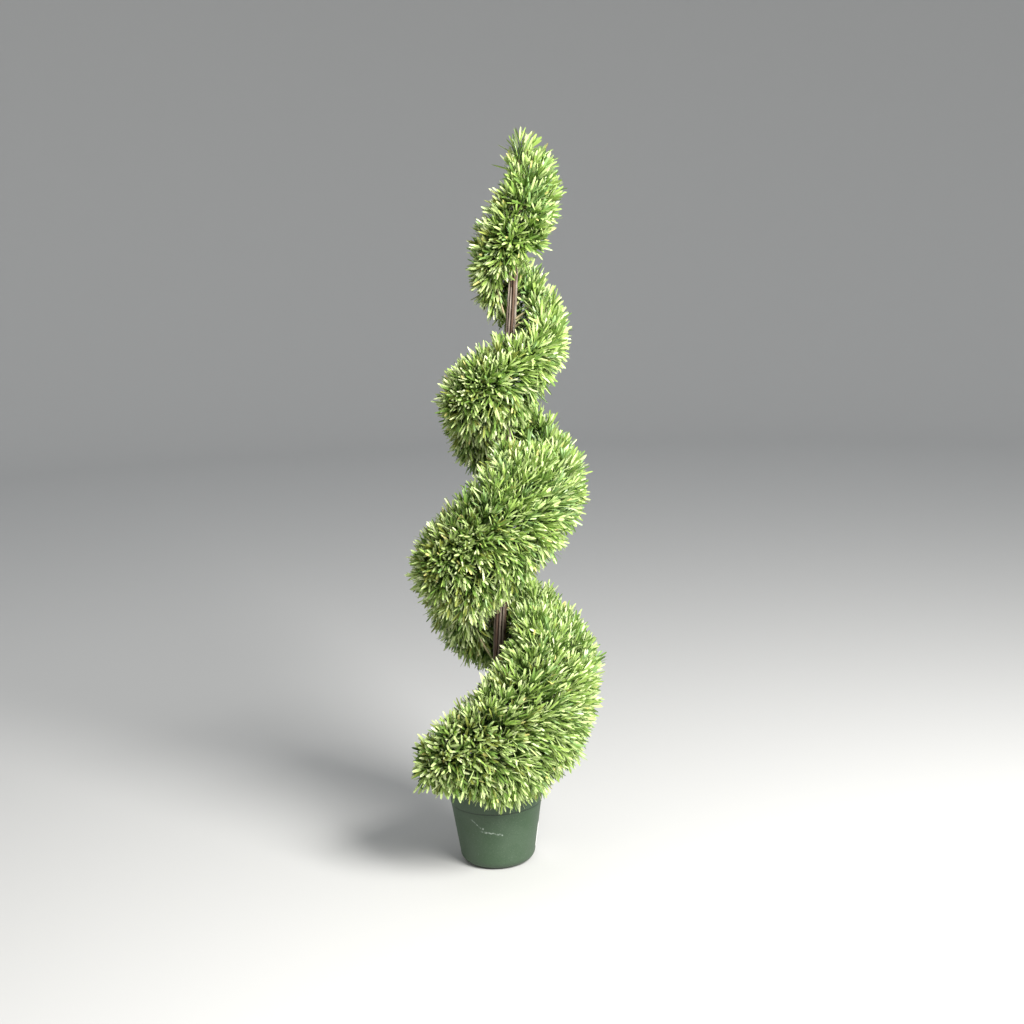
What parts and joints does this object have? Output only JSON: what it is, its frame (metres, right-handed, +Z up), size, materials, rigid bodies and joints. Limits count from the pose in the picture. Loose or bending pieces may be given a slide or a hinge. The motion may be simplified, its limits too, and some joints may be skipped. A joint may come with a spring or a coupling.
{
  "type": "artificial spiral topiary",
  "caption": "Tall artificial topiary: a band of narrow green leaves winds up round a leaning trunk of bundled sticks, standing in a plain round plastic pot.",
  "frame": {"origin": "centre of the pot's flat underside", "axes": "+Z up, +X the way the trunk leans, -Y towards the side that shows the band's low end at the left"},
  "size_m": [0.379, 0.4073, 1.4975],
  "materials": {
    "pot_plastic": "matte",
    "fill": "matte",
    "label": "matte",
    "core_wood": "satin",
    "stick_wood": "matte",
    "bough": "matte",
    "foliage": "matte"
  },
  "bodies": {
    "root": {"pot": "pot_plastic", "pot_fill": "fill", "label": "label", "trunk_core": "core_wood", "trunk_stick_1": "stick_wood", "trunk_stick_2": "stick_wood", "trunk_stick_3": "stick_wood", "trunk_stick_4": "stick_wood", "trunk_stick_5": "stick_wood", "trunk_stick_6": "stick_wood", "trunk_stick_7": "stick_wood", "trunk_stick_8": "stick_wood", "trunk_stick_9": "stick_wood", "bough_2": "bough", "bough_3": "bough", "bough_4": "bough", "bough_5": "bough", "bough_6": "bough", "bough_7": "bough", "bough_8": "bough", "bough_9": "bough", "bough_10": "bough", "bough_11": "bough", "bough_12": "bough", "bough_13": "bough", "bough_14": "bough", "bough_15": "bough", "foliage_1": "foliage", "foliage_2": "foliage", "foliage_3": "foliage", "foliage_4": "foliage", "foliage_5": "foliage", "foliage_6": "foliage", "foliage_7": "foliage", "foliage_8": "foliage", "foliage_9": "foliage", "foliage_10": "foliage", "foliage_11": "foliage", "foliage_12": "foliage", "foliage_13": "foliage", "foliage_14": "foliage", "foliage_15": "foliage"}
  },
  "joints": []
}
